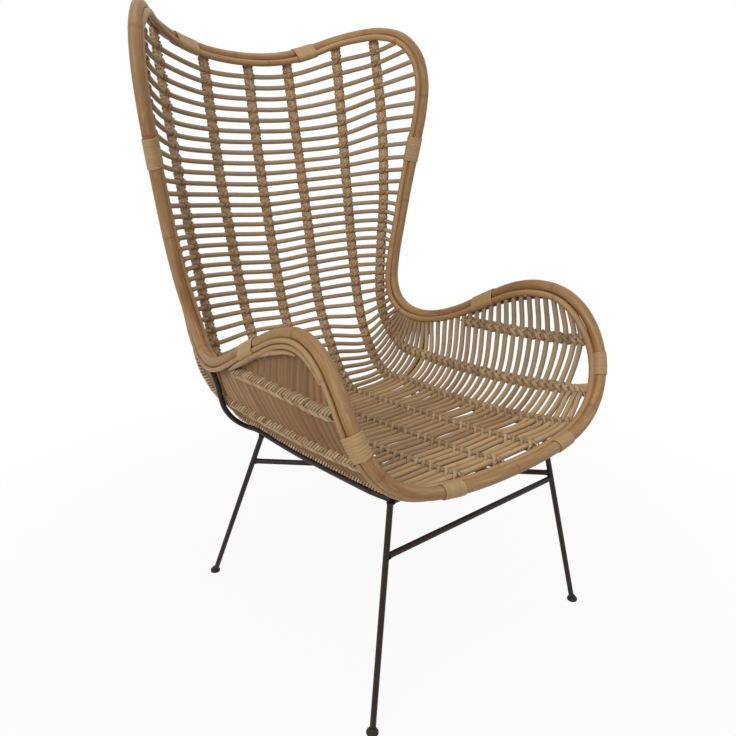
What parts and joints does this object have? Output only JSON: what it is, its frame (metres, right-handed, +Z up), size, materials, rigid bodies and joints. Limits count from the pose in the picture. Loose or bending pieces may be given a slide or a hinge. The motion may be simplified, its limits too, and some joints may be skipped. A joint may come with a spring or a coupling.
{
  "type": "rattan wing lounge chair",
  "caption": "Open-weave rattan peacock lounge chair: winged high back, arms and seat in one cane shell with a bound pole rim, on a splayed steel rod frame.",
  "frame": {"origin": "on the floor, under the centre of the chair's bounding box", "axes": "+Z up, -Y the way a sitter faces, +X to the sitter's left"},
  "size_m": [0.6602, 0.7959, 1.1113],
  "materials": {
    "rim_pole": "natural rattan pole, satin lacquer",
    "thin_pole": "thin rattan pole, satin lacquer",
    "cane": "round rattan core, dry matt",
    "twine": "twined rattan core, dry matt",
    "peel": "split rattan peel, satin",
    "steel_rod": "dark brown powder coat",
    "foot_pad": "dark moulded plastic"
  },
  "bodies": {
    "root": {"rim_pole_top": "rim_pole", "rim_pole_front": "rim_pole", "rim_pole_wing_right": "rim_pole", "rim_pole_wing_left": "rim_pole", "rim_pole_arm_right": "rim_pole", "rim_pole_arm_left": "rim_pole", "inner_pole_top": "thin_pole", "inner_pole_front": "thin_pole", "outer_pole_front": "thin_pole", "outer_pole_upper_right": "thin_pole", "outer_pole_upper_left": "thin_pole", "outer_pole_lower_right": "thin_pole", "outer_pole_lower_left": "thin_pole", "outer_pole_short_right": "thin_pole", "outer_pole_short_left": "thin_pole", "canes_upper_back": "cane", "canes_lower_back": "cane", "canes_waist": "cane", "canes_rear_seat": "cane", "canes_seat": "cane", "band_centre": "twine", "band_inner_right": "twine", "band_inner_left": "twine", "band_side_right": "twine", "band_side_left": "twine", "band_outer_right": "twine", "band_outer_left": "twine", "band_arm_right": "twine", "band_arm_left": "twine", "binding_top_right": "peel", "binding_top_left": "peel", "binding_wing_right": "peel", "binding_wing_left": "peel", "binding_arm_right": "peel", "binding_arm_left": "peel", "binding_arm_front_right": "peel", "binding_arm_front_left": "peel", "binding_front_right": "peel", "binding_front_left": "peel", "side_rail_right": "steel_rod", "side_rail_left": "steel_rod", "leg_front_right": "steel_rod", "leg_front_left": "steel_rod", "leg_rear_right": "steel_rod", "leg_rear_left": "steel_rod", "front_stretcher": "steel_rod", "front_cross_rail": "steel_rod", "diagonal_brace": "steel_rod", "foot_front_right": "foot_pad", "foot_front_left": "foot_pad", "foot_rear_right": "foot_pad", "foot_rear_left": "foot_pad"}
  },
  "joints": []
}
